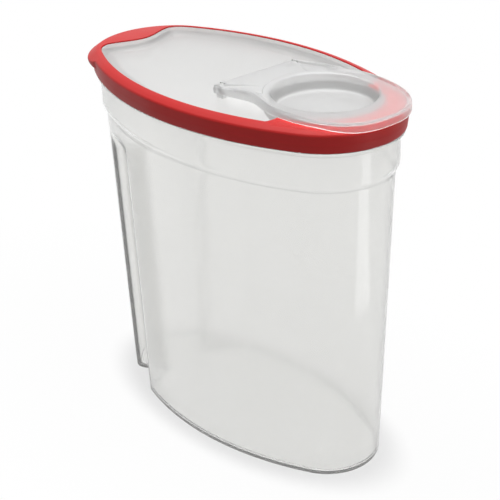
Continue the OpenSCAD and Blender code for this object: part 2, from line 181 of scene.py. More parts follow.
class KeeperStage(bpy.types.PropertyGroup):
    """Light and floor of the picture."""

    floor_shade: colour("Floor shade", "Colour of the floor under the lamps", (0.42, 0.42, 0.42))
    world_dim: factor("World fill", "Strength of the world's light on matt surfaces", 0.12)
    overhead: factor("Overhead lamp", "Power of the soft box above, in watts", 35.0)
    fill: factor("Fill lamp", "Power of the soft box at the right, in watts", 1.0)
    strip: factor("Strip lamp", "Power of the low strip before the nose, in watts", 0.35)


# Plan outlines


def smooth(t):
    """Soft step from 0 to 1."""
    t = np.clip(t, 0.0, 1.0)
    return t * t * (3 - 2 * t)


def mix(a, b, t):
    """Blend from a to b."""
    return a + (b - a) * t


def arc(x, y, radius, start, end, count):
    """Points along an arc, without its last one. Angles are in radians."""
    a = np.linspace(start, end, count, endpoint=False)
    return np.stack([x + radius * np.cos(a), y + radius * np.sin(a)], axis=1)


class Plan:
    """Plan outline of the rim: two flat side arcs joined by two nose arcs."""

    NOSE_POINTS = 72
    SIDE_POINTS = 132
    TURN_POINTS = 24
    TURN_REACH = 0.008

    def __init__(self, sizes):
        half_w = sizes.rim_width / 2
        self.nose_r = sizes.nose_radius
        self.nose_x = sizes.rim_length / 2 - self.nose_r
        self.side_r = (self.nose_x**2 + half_w**2 - self.nose_r**2) / (2 * (half_w - self.nose_r))
        self.side_c = self.side_r - half_w
        self.turn = math.atan2(self.side_c, self.nose_x)
        self.deck_turn = sizes.pour_x + np.linspace(0.0, self.TURN_REACH, self.TURN_POINTS)

    def nose(self, middle, inset):
        """Arc of the nose whose middle lies at the given angle: 0 at the front, pi at the rear."""
        start, end = middle - self.turn, middle + self.turn
        return arc(math.cos(middle) * self.nose_x, 0.0, self.nose_r - inset, start, end, self.NOSE_POINTS)

    def closed(self, far, inset=0.0):
        """The closed outline with the given far side, anticlockwise from the front nose's near end."""
        near = np.concatenate([-far[:1], far[:0:-1] * [1, -1]])
        return np.concatenate([self.nose(0.0, inset), far, self.nose(math.pi, inset), near])

    def outline(self, inset):
        """The outline moved inwards by inset, with extra points where the front deck turns off."""
        side_r = self.side_r - inset
        a = np.sort(np.concatenate([
            np.linspace(self.turn, math.pi - self.turn, self.SIDE_POINTS, endpoint=False),
            np.arccos(self.deck_turn / self.side_r),
        ]))
        return self.closed(np.column_stack([side_r * np.cos(a), side_r * np.sin(a) - self.side_c]), inset)

    def wall(self, inset, z):
        """The outline moved inwards by inset, at a height."""
        return lift(self.outline(inset), z)


def around_opening(s, radius, angle):
    """Plan points on a circle round the pour opening, at the given angles."""
    return np.column_stack([s.pour_x + radius * np.cos(angle), radius * np.sin(angle)])


def lift(plan, z):
    """Plan points at a height, which may be one number or one per point."""
    return np.column_stack([plan, np.broadcast_to(z, len(plan))])


def rounded(rings, radii, steps=4, closed=True):
    """Rings of points with the corner at each ring rounded by about the given radius."""
    made = []
    count = len(rings)
    for i, ring in enumerate(rings):
        if radii[i] == 0 or (not closed and i in (0, count - 1)):
            made.append(ring)
            continue
        ends = []
        for other in (rings[i - 1], rings[(i + 1) % count]):
            way = np.maximum(np.linalg.norm(other - ring, axis=1, keepdims=True), 1e-9)
            ends.append(ring + (other - ring) / way * np.minimum(radii[i], 0.45 * way))
        first, last = ends
        for t in np.linspace(0, 1, steps + 1):
            made.append((1 - t) ** 2 * first + 2 * t * (1 - t) * ring + t * t * last)
    return made


# Meshes and objects


def loft_mesh(name, rings, closed):
    """A skin through rings of equally many points, closed onto itself or by a flat cap at each end."""
    count, points = len(rings), len(rings[0])
    j = np.arange(points)
    k = (j + 1) % points
    faces = []
    for i in range(count if closed else count - 1):
        low, high = i * points, (i + 1) % count * points
        faces += np.column_stack([low + j, low + k, high + k, high + j]).tolist()
    if not closed:
        faces += [j[::-1].tolist(), ((count - 1) * points + j).tolist()]
    mesh = bpy.data.meshes.new(name)
    mesh.from_pydata(np.concatenate(rings).tolist(), [], faces)
    return mesh


def tidy_mesh(mesh, fill_ends=False):
    """Merges doubles, closes open ends and turns every face outwards."""
    bm = bmesh.new()
    bm.from_mesh(mesh)
    bmesh.ops.remove_doubles(bm, verts=bm.verts, dist=2e-6)
    bmesh.ops.dissolve_degenerate(bm, edges=bm.edges, dist=1e-6)
    if fill_ends:
        bmesh.ops.holes_fill(bm, edges=[e for e in bm.edges if e.is_boundary], sides=0)
    bmesh.ops.recalc_face_normals(bm, faces=bm.faces)
    bm.to_mesh(mesh)
    bm.free()
    return mesh


def loft_piece(name, corners, closed):
    """The tidy skin through pairs of a ring of points and the radius that rounds the corner there."""
    rings, radii = zip(*corners)
    return tidy_mesh(loft_mesh(name, rounded(rings, radii, closed=closed), closed))


def add_object(name, data):
    """A new object in the scene, at the origin."""
    made = bpy.data.objects.new(name, data)
    bpy.context.scene.collection.objects.link(made)
    return made


def apply_modifier(piece, modifier):
    """Works the modifier into a new mesh of the piece and deletes the old one."""
    graph = bpy.context.evaluated_depsgraph_get()
    mesh = bpy.data.meshes.new_from_object(piece.evaluated_get(graph))
    piece.modifiers.remove(modifier)
    old, piece.data = piece.data, mesh
    bpy.data.meshes.remove(old)
    return mesh


def combine(piece, tool_mesh, operation):
    """Works another closed mesh into the piece's own, by union or difference."""
    tool = add_object("tool", tool_mesh)
    modifier = piece.modifiers.new("combine", "BOOLEAN")
    modifier.operation = operation
    modifier.solver = "EXACT"
    modifier.object = tool
    apply_modifier(piece, modifier)
    bpy.data.objects.remove(tool)
    bpy.data.meshes.remove(tool_mesh)


SHARP_ANGLE = math.radians(38)


def finish_piece(piece, material, body, node):
    """Shades the piece smooth, gives it its material and puts it in the place of its CAD node."""
    mesh = piece.data
    mesh.materials.clear()
    mesh.materials.append(material)
    mesh.shade_smooth()
    mesh.set_sharp_from_angle(angle=SHARP_ANGLE)
    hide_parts(node)
    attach(piece, body)


# Node trees


def add_node(tree, kind, inputs=None, **settings):
    """A new node whose inputs are linked where a socket is given and set where a value is given."""
    made = tree.nodes.new(kind)
    for name, value in settings.items():
        setattr(made, name, value)
    for key, value in (inputs or {}).items():
        if isinstance(value, bpy.types.NodeSocket):
            tree.links.new(value, made.inputs[key])
        else:
            made.inputs[key].default_value = value
    return made


def maths(tree, operation, *values):
    """The result of a Math node."""
    return add_node(tree, "ShaderNodeMath", dict(enumerate(values)), operation=operation).outputs[0]


def map_range(tree, value, start, end, low, high, kind="LINEAR"):
    """The result of a Map Range node."""
    inputs = {"Value": value, "From Min": start, "From Max": end, "To Min": low, "To Max": high}
    return add_node(tree, "ShaderNodeMapRange", inputs, interpolation_type=kind).outputs["Result"]


def add_sockets(tree, direction, sockets):
    """Named sockets on a node group: pairs of name and socket type."""
    for name, kind in sockets:
        tree.interface.new_socket(name, in_out=direction, socket_type=kind)


# Materials


def empty_tree(block):
    """The cleared node tree of a material or a world."""
    block.use_nodes = True
    block.node_tree.nodes.clear()
    return block.node_tree


def moulded_surface():
    """Shader group: slow flow marks and fine ripple of moulded plastic."""
    found = bpy.data.node_groups.get("moulded_surface")
    if found:
        return found
    tree = bpy.data.node_groups.new("moulded_surface", "ShaderNodeTree")
    add_sockets(tree, "INPUT", [
        ("Vector", "NodeSocketVector"), ("Flow scale", "NodeSocketFloat"), ("Grain scale", "NodeSocketFloat"),
        ("Smoothest", "NodeSocketFloat"), ("Roughest", "NodeSocketFloat"),
    ])
    add_sockets(tree, "OUTPUT", [
        ("Roughness", "NodeSocketFloat"), ("Flow", "NodeSocketFloat"), ("Height", "NodeSocketFloat"),
    ])
    given = add_node(tree, "NodeGroupInput").outputs
    drawn = add_node(tree, "ShaderNodeMapping", {"Vector": given["Vector"], "Scale": (1.0, 1.0, 0.22)})
    flow = add_node(tree, "ShaderNodeTexNoise", {
        "Vector": drawn.outputs[0], "Scale": given["Flow scale"], "Detail": 2.0, "Roughness": 0.45,
    }).outputs[0]
    grain = add_node(tree, "ShaderNodeTexNoise", {
        "Vector": given["Vector"], "Scale": given["Grain scale"], "Detail": 3.0, "Roughness": 0.6,
    }).outputs[0]
    height = maths(tree, "MULTIPLY_ADD", flow, 4.0, grain)
    rough = map_range(tree, flow, 0.3, 0.7, given["Smoothest"], given["Roughest"])
    add_node(tree, "NodeGroupOutput", {"Roughness": rough, "Flow": flow, "Height": height})
    return tree


RIPPLE_DEPTH = 0.0002


def start_material(name, roughness, flow_scale, grain_scale, bump):
    """A material with a Principled shader whose roughness and bump come from the moulded surface.

    Roughness is the pair of its smoothest and its roughest value."""
    material = bpy.data.materials.new(name)
    tree = empty_tree(material)
    place = add_node(tree, "ShaderNodeTexCoord").outputs["Object"]
    surface = add_node(tree, "ShaderNodeGroup", {
        "Vector": place, "Flow scale": flow_scale, "Grain scale": grain_scale,
        "Smoothest": roughness[0], "Roughest": roughness[1],
    }, node_tree=moulded_surface())
    normal = add_node(tree, "ShaderNodeBump", {
        "Height": surface.outputs["Height"], "Strength": bump, "Distance": RIPPLE_DEPTH,
    }).outputs["Normal"]
    shader = add_node(tree, "ShaderNodeBsdfPrincipled", {
        "Roughness": surface.outputs["Roughness"], "Normal": normal,
    })
    return material, tree, shader, surface


HAZE_PASSED = (0.10, 0.09, 0.04, 1.0)
HAZE_DENSITY = 4.0  # absorption per metre
# half width of the painted shade line along a crease
CREASE_HALF = 0.0011
PAINTED_CREASE_SHADE = 0.86  # share of the tint left in the painted shade line along a crease
TRAPPED_DEPTH = 7.0  # bounces after which light counts as trapped
FLOW_SHADE = 0.93  # share of the red left in the flow marks


def crease_painted_shade(tree, tint, height):
    """The tint, darkened along a level crease of the moulding by a painted shade line that stands in for the
    dark line the crease's refraction draws.
    """
    place = add_node(tree, "ShaderNodeTexCoord").outputs["Object"]
    level = add_node(tree, "ShaderNodeSeparateXYZ", {0: place}).outputs[2]
    away = maths(tree, "ABSOLUTE", maths(tree, "SUBTRACT", level, height))
    share = map_range(tree, away, 0.0, CREASE_HALF, 1.0, 0.0, "SMOOTHSTEP")
    deep = tuple(PAINTED_CREASE_SHADE * c for c in tint)
    return add_node(tree, "ShaderNodeMix", {
        0: share, 6: (*tint, 1.0), 7: (*deep, 1.0),
    }, data_type="RGBA").outputs[2]


def clear_plastic(name, tint, roughness, transmission, lamp_share, ior=1.47, crease=None):
    """Translucent moulded plastic: hazy, a little absorbing, and open to the light of lamps.

    Transmission is the share that isn't haze, lamp_share what each surface lets through of the light of
    lamps, and crease the height of a crease along which painted shade darkens the tint in a thin line.
    Light that stays trapped in a wall is let straight out."""
    material, tree, shader, _ = start_material(name, roughness, flow_scale=14.0, grain_scale=900.0, bump=0.12)
    shader.inputs["Base Color"].default_value = (*tint, 1.0)
    # a line of painted shade darkens the tint along the crease
    if crease is not None:
        tree.links.new(crease_painted_shade(tree, tint, crease), shader.inputs["Base Color"])
    shader.inputs["Transmission Weight"].default_value = transmission
    shader.inputs["IOR"].default_value = ior
    lamp_light = add_node(tree, "ShaderNodeBsdfTransparent", {"Color": (lamp_share,) * 3 + (1.0,)})
    path = add_node(tree, "ShaderNodeLightPath").outputs
    trapped = maths(tree, "GREATER_THAN", path["Ray Depth"], TRAPPED_DEPTH)
    let_out = maths(tree, "MAXIMUM", path["Is Shadow Ray"], trapped)
    both = add_node(tree, "ShaderNodeMixShader", {0: let_out, 1: shader.outputs[0], 2: lamp_light.outputs[0]})
    inside = add_node(tree, "ShaderNodeVolumeAbsorption", {"Color": HAZE_PASSED, "Density": HAZE_DENSITY})
    add_node(tree, "ShaderNodeOutputMaterial", {"Surface": both.outputs[0], "Volume": inside.outputs[0]})
    return material


def red_plastic(name, red):
    """Opaque soft red moulding with a satin gloss."""
    material, tree, shader, surface = start_material(
        name, roughness=(0.40, 0.50), flow_scale=26.0, grain_scale=1400.0, bump=0.25
    )
    deep = tuple(FLOW_SHADE * c for c in red)
    shade = add_node(tree, "ShaderNodeMix", {
        0: surface.outputs["Flow"], 6: (*deep, 1.0), 7: (*red, 1.0),
    }, data_type="RGBA")
    tree.links.new(shade.outputs[2], shader.inputs["Base Color"])
    shader.inputs["Specular IOR Level"].default_value = 0.2
    add_node(tree, "ShaderNodeOutputMaterial", {"Surface": shader.outputs[0]})
    return material


# Container


FLOOR_BORDER = 0.004  # flat border of the floor, inside its round edge
FOOT_LEAN = 0.0002  # how far the foot's corner lies inside the wall's line
CLIMB_START = 0.02  # height from which the wall has points of its own
SECTION_STEPS = 6
STEP_MARGIN = 0.006  # how far the close points reach past the recess's step
STEP_BLEND = 0.12  # softness of the step's two ends
POCKET_GAIN = 1.2  # how much fuller the pocket is than a plain square curve


def wall_profile(s):
    """Section of the container from the floor's underside over the mouth to the floor's top.

    Returns points of inset and height, and 0 for the outer skin or 1 for the lining. The corners are
    given as inset, height and radius."""
    def draft(z):
        return mix(s.foot_inset, s.shoulder_inset, z / s.shoulder_z)

    lining_r = s.foot_radius + s.wall
    collar_z = s.shoulder_z + s.shoulder_rise
    flange_top = s.flange_z + s.flange_thick
    flange_inset = s.collar_inset - s.flange_reach
    climb = np.concatenate([
        np.linspace(CLIMB_START, s.recess_roof, 10, endpoint=False),
        np.linspace(s.recess_roof, s.recess_top, 22),
    ])
    outer = [
        (s.foot_inset + s.foot_radius + FLOOR_BORDER, 0.0, 0.0),
        (s.foot_inset + FOOT_LEAN, 0.0, 0.9 * s.foot_radius),
        *[(draft(z), z, 0.0) for z in climb],
        (s.shoulder_inset, s.shoulder_z, 0.0014),
        (s.collar_inset, collar_z, 0.0016),
        (s.collar_inset, s.flange_z - s.flange_reach / 2, 0.0008),
        (flange_inset, s.flange_z, 0.0006),
        (flange_inset, flange_top, 0.0005),
        (s.collar_inset, flange_top, 0.0003),
        (s.collar_inset, s.mouth_z, 0.0006),
    ]
    lining = [
        (s.collar_inset + s.wall, s.mouth_z, 0.0006),
        (s.collar_inset + s.wall, collar_z, 0.0034),
        (s.shoulder_inset + s.wall, s.shoulder_z, 0.0034),
        *[(draft(z) + s.wall, z, 0.0) for z in climb[::-1] + s.wall],
        (s.foot_inset + s.wall, s.floor, 0.9 * lining_r),
        (s.foot_inset + s.wall + lining_r + FLOOR_BORDER, s.floor, 0.0),
    ]
    rings = [np.array([[inset, z]]) for inset, z, _ in outer + lining]
    radii = [r for _, _, r in outer + lining]
    points = np.concatenate(rounded(rings, radii, SECTION_STEPS, closed=False))
    skin = sum(SECTION_STEPS + 1 if r else 1 for _, _, r in outer)
    return points, [0.0] * skin + [1.0] * (len(points) - skin)


def container_outline(s):
    """Rim outline with points close together along the recesses."""
    plan = Plan(s)
    reach = plan.side_r * math.cos(plan.turn)
    front, rear = s.recess_end + STEP_MARGIN, s.recess_foot - STEP_MARGIN
    x = np.concatenate([
        np.linspace(reach, front, 52, endpoint=False),
        np.linspace(front, rear, 44, endpoint=False),
        np.linspace(rear, -reach, 22, endpoint=False),
    ])
    return plan.closed(np.column_stack([x, np.sqrt(plan.side_r**2 - x**2) - plan.side_c]))


def chain_mesh(name, points, closed):
    """A mesh of edges through the points."""
    count = len(points)
    edges = [(i, (i + 1) % count) for i in range(count if closed else count - 1)]
    mesh = bpy.data.meshes.new(name)
    mesh.from_pydata(points.tolist(), edges, [])
    return mesh


def recessed_wall_tree():
    """Geometry Nodes tree: sweeps the wall section round the outline and presses in the two recesses."""
    tree = bpy.data.node_groups.new("recessed_wall", "GeometryNodeTree")
    add_sockets(tree, "INPUT", [("Outline", "NodeSocketGeometry"), ("Section", "NodeSocketObject")])
    add_sockets(tree, "INPUT", [(name, "NodeSocketFloat") for name in (
        "Wall", "Recess depth", "Recess tail", "Step foot", "Step end", "Roof foot", "Roof top",
    )])
    add_sockets(tree, "INPUT", [("Material", "NodeSocketMaterial")])
    add_sockets(tree, "OUTPUT", [("Wall", "NodeSocketGeometry")])
    given = add_node(tree, "NodeGroupInput").outputs

    path = add_node(tree, "GeometryNodeMeshToCurve", {"Mesh": given["Outline"]}).outputs[0]
    upright = add_node(tree, "GeometryNodeSetCurveNormal", {"Curve": path}, mode="Z_UP").outputs[0]
    drawn = add_node(tree, "GeometryNodeObjectInfo", {"Object": given["Section"]}).outputs["Geometry"]
    section = add_node(tree, "GeometryNodeMeshToCurve", {"Mesh": drawn}).outputs[0]
    swept = add_node(tree, "GeometryNodeCurveToMesh", {"Curve": upright, "Profile Curve": section}).outputs[0]

    side = add_node(tree, "GeometryNodeInputNamedAttribute", {"Name": "lining"}, data_type="FLOAT").outputs[0]
    at = add_node(tree, "ShaderNodeSeparateXYZ", {0: add_node(tree, "GeometryNodeInputPosition").outputs[0]})
    inward = maths(tree, "MULTIPLY", side, given["Wall"])
    x = maths(tree, "SUBTRACT", at.outputs["X"], inward)
    z = maths(tree, "SUBTRACT", at.outputs["Z"], inward)
    run = map_range(tree, x, given["Recess tail"], given["Step foot"], 0.0, 1.0)
    lean = maths(tree, "MULTIPLY_ADD", run, -POCKET_GAIN, 1 + POCKET_GAIN)
    pocket = maths(tree, "MULTIPLY", maths(tree, "MULTIPLY", run, run), lean)
    left = maths(tree, "SUBTRACT", given["Step end"], x)
    step = maths(tree, "DIVIDE", left, maths(tree, "SUBTRACT", given["Step end"], given["Step foot"]))
    step = maths(tree, "SMOOTH_MIN", maths(tree, "SMOOTH_MAX", step, 0.0, STEP_BLEND), 1.0, STEP_BLEND)
    share = map_range(tree, z, given["Roof foot"], given["Roof top"], 1.0, 0.0, "SMOOTHSTEP")
    depth = maths(tree, "MULTIPLY", maths(tree, "MULTIPLY", pocket, step), share)
    depth = maths(tree, "MULTIPLY", depth, given["Recess depth"])
    away = maths(tree, "MULTIPLY", depth, maths(tree, "MULTIPLY", maths(tree, "SIGN", at.outputs["Y"]), -1.0))
    offset = add_node(tree, "ShaderNodeCombineXYZ", {"Y": away}).outputs[0]
    pressed = add_node(tree, "GeometryNodeSetPosition", {"Geometry": swept, "Offset": offset}).outputs[0]

    real = add_node(tree, "GeometryNodeRealizeInstances", {"Geometry": pressed}).outputs[0]
    painted = add_node(tree, "GeometryNodeSetMaterial", {"Geometry": real, "Material": given["Material"]})
    add_node(tree, "NodeGroupOutput", {"Wall": painted.outputs[0]})
    return tree


def set_inputs(modifier, values):
    """Sets a Geometry Nodes modifier's inputs, given by name, through their identifiers."""
    for socket in modifier.node_group.interface.items_tree:
        if socket.in_out == "INPUT" and socket.name in values:
            modifier[socket.identifier] = values[socket.name]


class KEEPER_OT_container(bpy.types.Operator):
    """Sweep the translucent container and press in its finger recesses"""

    bl_idname = "keeper.container"
    bl_label = "Container"

    def execute(self, context):
        s, finish = context.scene.keeper_sizes, context.scene.keeper_finish
        # the body's tint gets a painted shade line along the shoulder's crease
        material = clear_plastic(
            "clear_body", finish.body_tint, roughness=(0.08, 0.13), transmission=0.93, lamp_share=0.92,
            crease=s.shoulder_z,
        )
        points, sides = wall_profile(s)
        section = add_object("section", chain_mesh("section", np.column_stack([
            -points[:, 0], -points[:, 1], np.zeros(len(points)),
        ]), closed=False))
        section.data.attributes.new("lining", "FLOAT", "POINT").data.foreach_set("value", sides)
        outline = container_outline(s)
        piece = add_object("container_shell", chain_mesh("outline", lift(outline, 0.0), closed=True))
        modifier = piece.modifiers.new("recessed_wall", "NODES")
        modifier.node_group = recessed_wall_tree()
        set_inputs(modifier, {
            "Section": section, "Wall": s.wall, "Recess depth": s.recess_depth, "Recess tail": s.recess_tail,
            "Step foot": s.recess_foot, "Step end": s.recess_end, "Roof foot": s.recess_roof,
            "Roof top": s.recess_top, "Material": material,
        })
        mesh = tidy_mesh(apply_modifier(piece, modifier), fill_ends=True)
        mesh.name = "container_shell"
        bpy.data.objects.remove(section)
        if "lining" in mesh.attributes:
            mesh.attributes.remove(mesh.attributes["lining"])
        finish_piece(piece, material, "container", "container")
        return {"FINISHED"}


# Lid


LID_GAP = 0.0001  # between the panel and the rim
FLANGE_GAP = 0.0006  # between the panel's flange and the rim's skirt
DECK_GAP = 0.0003  # between the red deck and the collar
COLLAR_GAP = 0.0008  # between the collar and the foot of the dish's border
BAND_EDGE, BAND_DROP = 0.0006, 0.0005  # width and drop of the band's bevels
BAND_CROWN = 0.7  # share of the band's rise at its middle
SKIRT_LEAN = 0.0005  # inset of the skirt under the tab
TAB_FULLNESS = 20  # how square the tab's ends are
TAB_ROOT = 0.0072  # where the skirt meets the tab, below the rim's top edge
TAB_UNDER, TAB_LIFT = 0.0065, 0.0010  # depth of the tab's underside and its rise
TAB_EDGE, TAB_EDGE_FALL = 0.0012, 0.0026  # depth of its edge and its droop
TAB_TOP_FALL = 0.0028  # droop of its edge's upper corner
REAR_CORNER = 0.006
DECK_TURN = 0.004  # length of the turn from the band to the front deck
DECK_SWEEP = 1.03  # spread of the front deck's edge round the collar
SINK_RUN, SINK_LEAD = 0.005, 1.1  # length of the lip's way down at the front deck, and its lead


def rear_edge(s, y):
    """Front edge of the red deck at the rear."""
    swell = np.cos(np.minimum(math.pi / 2, math.pi / 2 * np.abs(y) / s.bulge_half)) ** 2
    return s.rear_deck - s.rim_length / 2 + s.rear_bulge * swell


def ahead_of(p, limit):
    """Plan points held ahead of a limit along X, with a round corner where they meet it."""
    near = np.maximum(0, 1 - np.abs(p[:, 0] - limit) / REAR_CORNER)
    return np.column_stack([np.maximum(p[:, 0], limit) + near**2 * REAR_CORNER / 4, p[:, 1]])


def deck_share(s, plan):
    """1 on the stretch of the outline that carries the front deck, 0 elsewhere, with a round turn between."""
    run = np.clip((plan[:, 0] - s.pour_x - s.deck_start) / DECK_TURN, 0.0, 1.0)
    return 1 - np.sqrt(1 - run**2)


class KEEPER_OT_rim(bpy.types.Operator):
    """Loft the red rim with its skirt, pull tab and decks"""

    bl_idname = "keeper.rim"
    bl_label = "Lid rim"

    def execute(self, context):
        s, finish = context.scene.keeper_sizes, context.scene.keeper_finish
        plan = Plan(s)
        base = plan.outline(0.0)
        deck = deck_share(s, base)
        top = s.rim_z
        under = top + s.band_rise - s.band_thick
        deck_r = s.collar_radius + DECK_GAP

        def tab(inset, z, fall):
            p = plan.outline(inset)
            share = np.maximum(0, 1 - np.abs(p[:, 1] / s.tab_half) ** TAB_FULLNESS)
            share = np.where(p[:, 0] < -plan.nose_x, share, 0.0)
            out = (s.tab_reach / (plan.nose_r - inset) * share)[:, None]
            return lift(p + out * (p + [plan.nose_x, 0.0]), z - fall * share)

        def red_edge(inset, radius, drop):
            p = plan.outline(inset)
            circle = around_opening(s, radius, DECK_SWEEP * np.arctan2(p[:, 1], p[:, 0] - s.pour_x))
            band = ahead_of(p, rear_edge(s, p[:, 1]))
            z = top + mix(s.band_rise, s.deck_rise, deck) - drop
            return lift(mix(band, circle, deck[:, None]), z)

        edge = red_edge(s.band_width, deck_r, BAND_DROP)
        below = lift(edge[:, :2], mix(under, top + s.deck_rise - s.deck_thick, deck))
        rings = [
            (plan.wall(s.skirt_draft, s.skirt_z), 0.0005),
            (plan.wall(SKIRT_LEAN, top - TAB_ROOT), 0.0006),
            (tab(SKIRT_LEAN, top - TAB_UNDER, -TAB_LIFT), 0.0006),
            (tab(0.0, top - TAB_EDGE, TAB_EDGE_FALL), 0.0005),
            (tab(BAND_EDGE, top, TAB_TOP_FALL), 0.0005),
            (plan.wall(s.band_width / 2, top + BAND_CROWN * s.band_rise), 0.0016),
            (red_edge(s.band_width - BAND_EDGE, deck_r + BAND_EDGE, 0.0), 0.0005),
            (edge, 0.0003),
            (below, 0.0002),
            (plan.wall(s.skirt_thick, under), 0.0004),
            (plan.wall(s.skirt_thick, s.skirt_z), 0.0005),
        ]
        piece = add_object("red_rim_ring", loft_piece("lid_rim", rings, closed=True))
        finish_piece(piece, red_plastic("red_rim", finish.rim_red), "lid", "lid_rim")
        return {"FINISHED"}


def ear_mesh(s, side, foot_z):
    """An upright ear with the bore for a hinge pin."""
    a = np.linspace(0, 2 * math.pi, 72, endpoint=False)
    cos, sin = np.cos(a), np.sin(a)
    to_side = s.ear_radius / np.maximum(np.abs(cos), 1e-6)
    to_foot = (HINGE[2] - foot_z) / np.maximum(-sin, 1e-6)
    reach = np.where(sin > 0, s.ear_radius, np.minimum(to_side, to_foot))

    def ring(radius, y):
        return np.column_stack([HINGE[0] + radius * cos, np.full(len(a), y), HINGE[2] + radius * sin])

    y0, y1 = side * s.ear_y - s.ear_thick / 2, side * s.ear_y + s.ear_thick / 2
    bore = s.pin_radius + s.pin_fit
    rings = [ring(reach, y0), ring(reach, y1), ring(bore, y1), ring(bore, y0)]
    return tidy_mesh(loft_mesh("ear", rounded(rings, [0.0004, 0.0004, 0.0002, 0.0002], steps=3), closed=True))


class KEEPER_OT_panel(bpy.types.Operator):
    """Loft the dished lid panel with its plug wall, its collar and its two hinge ears"""

    bl_idname = "keeper.panel"
    bl_label = "Lid panel"

    def execute(self, context):
        s, finish = context.scene.keeper_sizes, context.scene.keeper_finish
        plan = Plan(s)
        top = s.rim_z
        flange_z = top + s.band_rise - s.band_thick - LID_GAP
        flange_inset = s.skirt_thick + FLANGE_GAP
        dish_z = top - s.dish_depth
        under_z = dish_z - s.panel_thick
        base = plan.outline(0.0)
        angle = np.arctan2(base[:, 1], base[:, 0] - s.pour_x)

        def circle(radius, z):
            return lift(around_opening(s, radius, angle), z)

        def panel_edge(inset, rear_gap):
            p = plan.outline(inset)
            return ahead_of(p, rear_edge(s, p[:, 1]) + rear_gap)

        def clear_of_collar(p):
            out = p - [s.pour_x, 0.0]
            away = np.linalg.norm(out, axis=1, keepdims=True)
            return [s.pour_x, 0.0] + out * np.maximum(1.0, (s.collar_radius + COLLAR_GAP) / away)

        lip = panel_edge(s.band_width + LID_GAP, LID_GAP)
        foot = clear_of_collar(panel_edge(s.band_width + LID_GAP + s.dish_border, s.dish_border))
        sunk = smooth((base[:, 0] - s.pour_x - s.deck_start) / SINK_RUN + SINK_LEAD)
        lip_z = mix(top + s.lip_rise, flange_z - LID_GAP, sunk)
        collar_z = top + s.collar_rise
        hole_r = s.collar_radius - s.collar_wall
        inner_plug = s.plug_inset + s.panel_thick
        rings = [
            (circle(hole_r, under_z), 0.0003),
            (plan.wall(inner_plug, under_z), 0.0008),
            (plan.wall(inner_plug, s.plug_z), 0.0005),
            (plan.wall(s.plug_inset, s.plug_z), 0.0005),
            (plan.wall(s.plug_inset, flange_z - s.panel_thick), 0.0004),
            (plan.wall(flange_inset, flange_z - s.panel_thick), 0.0003),
            (plan.wall(flange_inset, flange_z), 0.0003),
            (lift(lip, flange_z), 0.0),
            (lift(lip, lip_z), 0.0004),
            (lift(foot, dish_z), 0.004),
            (circle(s.collar_radius, dish_z), 0.0006),
            (circle(s.collar_radius, collar_z), 0.0007),
            (circle(hole_r, collar_z), 0.0006),
        ]
        piece = add_object("dished_panel", loft_piece("lid_panel", rings, closed=True))
        for side in (-1, 1):
            combine(piece, ear_mesh(s, side, dish_z - s.panel_thick / 2), "UNION")
        material = clear_plastic(
            "clear_panel", finish.panel_tint, roughness=(0.34, 0.44), transmission=0.60, lamp_share=0.85,
        )
        finish_piece(piece, material, "lid", "lid_panel")
        return {"FINISHED"}


# Flap


FLAP_TILT = math.radians(1.7)  # fall of the flap's top towards its nose
FLAP_FULLNESS = 2.5  # exponent of the nose's outline
WING_START, WING_FADE = math.radians(122.0), math.radians(13.0)  # where the wings start, and their fade
WING_FOLD, FOLD_TURN = math.radians(152.4), math.radians(1.6)  # where they fold, and the fold's width
WING_EDGE, WING_END = 0.10, 0.95  # shares of the way from the edge to the ring
CUP_EDGE = 0.0008
CUP_FLOOR_INSET = 0.006  # flat border of the cup's floor
BEAD_LEAN, BEAD_ROUND = 0.0003, 0.001  # lean of the side below the bead, and its outer bevel
BEAD_SLOPE, BEAD_DIP = 0.0006, 0.0002  # half width of its inner slope, and the dip there


def flap_plan(s, inset):
    """Plan outline of the flap moved inwards by inset, from its nose round to its rear and back."""
    power = 2 / FLAP_FULLNESS
    a = np.linspace(0, math.pi / 2, 72, endpoint=False)
    nose = np.column_stack([
        s.pour_x + (s.flap_reach - inset) * np.cos(a) ** power, (s.flap_half - inset) * np.sin(a) ** power,
    ])
    corner_x, corner_y = s.tongue_x + s.tongue_corner, s.tongue_half - s.tongue_corner
    x = np.linspace(s.pour_x, corner_x, 56, endpoint=False)
    width = mix(s.tongue_half, s.flap_half, smooth((x - s.flare_x) / (s.pour_x - s.flare_x)))
    side = np.column_stack([x, width - inset])
    corner = arc(corner_x, corner_y, s.tongue_corner - inset, math.pi / 2, math.pi, 10)
    y = np.linspace(corner_y, 0, 26)
    rear = np.column_stack([np.full(len(y), s.tongue_x + inset), y])
    half = np.concatenate([nose, side, corner, rear])
    return np.concatenate([half, half[-2:0:-1] * [1, -1]])


def box_mesh(name, low, high):
    """A closed box between two corners."""
    bm = bmesh.new()
    bmesh.ops.create_cube(bm, size=1.0)
    low, high = Vector(low), Vector(high)
    for v in bm.verts:
        v.co = (low + high) / 2 + Vector(c * d for c, d in zip(v.co, high - low))
    mesh = bpy.data.meshes.new(name)
    bm.to_mesh(mesh)
    bm.free()
    return mesh


def pin_mesh(s, side, cheek_y, cheek_thick):
    """A cheek with its hinge pin, turned about the hinge axis."""
    a = np.linspace(0, 2 * math.pi, 64, endpoint=False)
    cap_z = s.rim_z + s.tongue_rise - s.flap_thick / 2

    def ring(radius, y):
        z = np.minimum(HINGE[2] + radius * np.sin(a), cap_z)
        return np.column_stack([HINGE[0] + radius * np.cos(a), np.full(len(a), side * y), z])

    tip = s.ear_y - s.ear_thick / 2
    rings = [
        ring(s.pin_radius, tip), ring(s.pin_radius, cheek_y),
        ring(s.cheek_radius, cheek_y), ring(s.cheek_radius, cheek_y + cheek_thick),
    ]
    return tidy_mesh(loft_mesh("pin", rings, closed=False))


